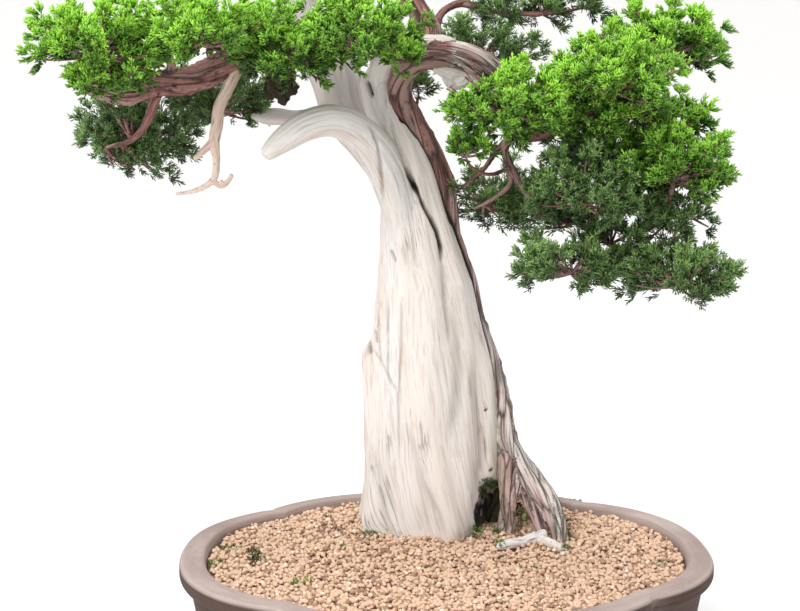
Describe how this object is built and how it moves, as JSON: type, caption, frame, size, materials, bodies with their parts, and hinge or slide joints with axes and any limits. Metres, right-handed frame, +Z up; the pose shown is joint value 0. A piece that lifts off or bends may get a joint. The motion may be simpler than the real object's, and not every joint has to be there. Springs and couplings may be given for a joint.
{
  "type": "bonsai tree in a pot",
  "caption": "Juniper bonsai with a bleached deadwood trunk, a strip of living bark and foliage pads, planted in granular soil in a low lobed unglazed pot.",
  "frame": {"origin": "centre of the bounding box in plan, on the surface that the feet of the pot stand on", "axes": "+X to the right along the long axis of the tree, +Y away from its front, +Z up"},
  "size_m": [0.694, 0.525, 0.9051],
  "materials": {
    "unglazed_clay": "unglazed, matt",
    "soil_grains": "dry baked clay grains",
    "screen_plastic": "moulded mesh",
    "bleached_deadwood": "bleached, weathered grain",
    "bare_jin": "bare, smooth",
    "juniper_bark": "stringy bark",
    "bright_foliage": "scale-leaf sprays",
    "deep_foliage": "scale-leaf sprays"
  },
  "bodies": {
    "root": {"pot": "unglazed_clay", "soil": "soil_grains", "drainage_screen_left": "screen_plastic", "drainage_screen_right": "screen_plastic", "deadwood_trunk": "bleached_deadwood", "bare_root": "bleached_deadwood", "hanging_jin": "bare_jin", "living_wood": "juniper_bark", "foliage_left_front": "bright_foliage", "foliage_left_upper": "bright_foliage", "foliage_left_inner": "bright_foliage", "foliage_right_front": "bright_foliage", "foliage_right_mid": "bright_foliage", "foliage_crown_right": "bright_foliage", "foliage_crown_left": "bright_foliage", "foliage_crown_top": "bright_foliage", "foliage_left_tip": "deep_foliage", "foliage_left_lower": "deep_foliage", "foliage_left_back": "deep_foliage", "foliage_right_back": "deep_foliage", "foliage_right_deep": "deep_foliage", "foliage_right_low_front": "deep_foliage", "foliage_right_outer": "deep_foliage", "foliage_right_low": "deep_foliage", "foliage_right_low_outer": "deep_foliage", "foliage_right_inner": "deep_foliage", "foliage_top_right": "deep_foliage", "foliage_back": "deep_foliage"}
  },
  "joints": []
}
